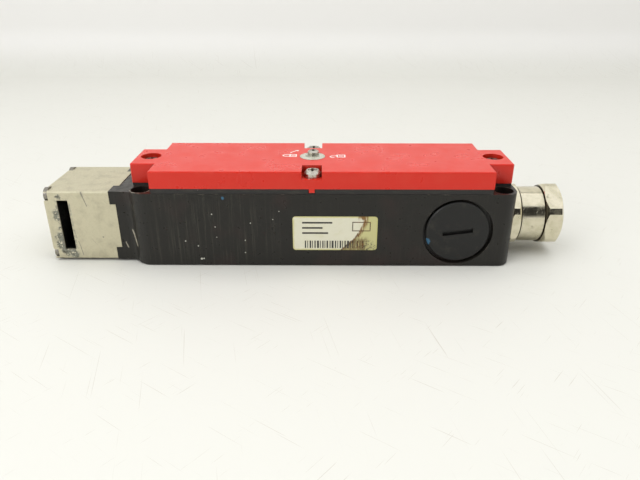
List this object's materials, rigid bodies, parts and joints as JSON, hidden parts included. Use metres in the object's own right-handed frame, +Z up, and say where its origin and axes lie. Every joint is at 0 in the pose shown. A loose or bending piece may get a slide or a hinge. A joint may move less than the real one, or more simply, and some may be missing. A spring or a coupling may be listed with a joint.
{
  "type": "tongue interlock switch",
  "caption": "Solenoid-locking guard door switch: black body, red cover, plated head with a tongue slot and a cam wheel inside, slotted blanking plugs and a cable gland.",
  "frame": {"origin": "centre of the four mounting holes, on the flat mounting face", "axes": "+X along the body from the head to the cable gland, -Y the side with the tongue slot and the rating label, +Z up from the mounting face to the red cover"},
  "size_m": [0.207, 0.04, 0.0413],
  "materials": {
    "black_coated_casting": "black coated die casting, fine satin",
    "red_cover": "red moulded plastic, satin",
    "black_rubber": "black rubber",
    "zinc_plate": "zinc plated steel",
    "nickel_plate": "nickel plated zinc die casting, worn",
    "gland_nickel": "nickel plated brass",
    "black_plastic": "black moulded plastic",
    "hard_steel": "hardened steel",
    "soft_iron": "soft iron, plated",
    "white_plastic": "white moulded plastic",
    "copper_winding": "enamelled copper winding",
    "spring_steel": "spring steel",
    "contact_brass": "brass"
  },
  "bodies": {
    "casing": {"housing": "black_coated_casting", "cover": "red_cover", "cover_gasket": "black_rubber", "cover_end_screws": "zinc_plate", "cover_side_screws": "zinc_plate", "release_seal": "black_rubber", "head_casing": "nickel_plate", "head_gasket": "black_rubber", "head_screws": "zinc_plate", "wheel_axle": "hard_steel", "solenoid_frame": "soft_iron", "solenoid_screws": "zinc_plate", "coil_bobbin": "white_plastic", "coil_winding": "copper_winding", "pole_piece": "soft_iron", "guide_block": "white_plastic", "contact_block": "black_plastic", "fixed_contacts": "contact_brass", "terminal_clamps": "contact_brass", "terminal_screws": "zinc_plate", "earth_screw": "contact_brass", "blanking_plug_near": "black_plastic", "plug_seal_near": "black_rubber", "blanking_plug_far": "black_plastic", "plug_seal_far": "black_rubber", "gland_washer": "black_rubber", "gland_body": "gland_nickel", "gland_seal": "black_rubber", "gland_nut": "gland_nickel"},
    "wheel": {"cam_wheel": "hard_steel", "eccentric_cam": "white_plastic", "cam_dowels": "hard_steel"},
    "follower": {"follower_rod": "white_plastic", "contact_slide": "white_plastic", "moving_contacts": "contact_brass", "follower_spring": "spring_steel"},
    "bolt": {"locking_bolt": "hard_steel", "armature": "soft_iron", "armature_rod": "hard_steel", "bolt_yoke": "hard_steel", "bolt_spring": "spring_steel"},
    "release": {"release_disc": "zinc_plate", "release_shaft": "hard_steel", "release_crank": "hard_steel", "release_lock_screw": "zinc_plate"}
  },
  "joints": [
    {"name": "wheel_turn", "type": "hinge", "parent": "casing", "child": "wheel", "pos_m": [-0.0925, 0, 0.0155], "axis": [0, 0, 1], "range_deg": [-60, 0]},
    {"name": "follower_slide", "type": "slide", "parent": "casing", "child": "follower", "axis": [1, 0, 0], "range_m": [-0.0026, 0], "deforming": ["follower_spring"]},
    {"name": "bolt_slide", "type": "slide", "parent": "casing", "child": "bolt", "axis": [-1, 0, 0], "range_m": [0, 0.004], "deforming": ["bolt_spring"]},
    {"name": "release_turn", "type": "hinge", "parent": "casing", "child": "release", "pos_m": [-0.0038, 0, 0.0397], "axis": [0, 0, 1], "range_deg": [-180, 0]}
  ],
  "couplings": [
    {"joint": "follower_slide", "follows": "wheel_turn", "m_per_rad": 0.0024828}
  ]
}
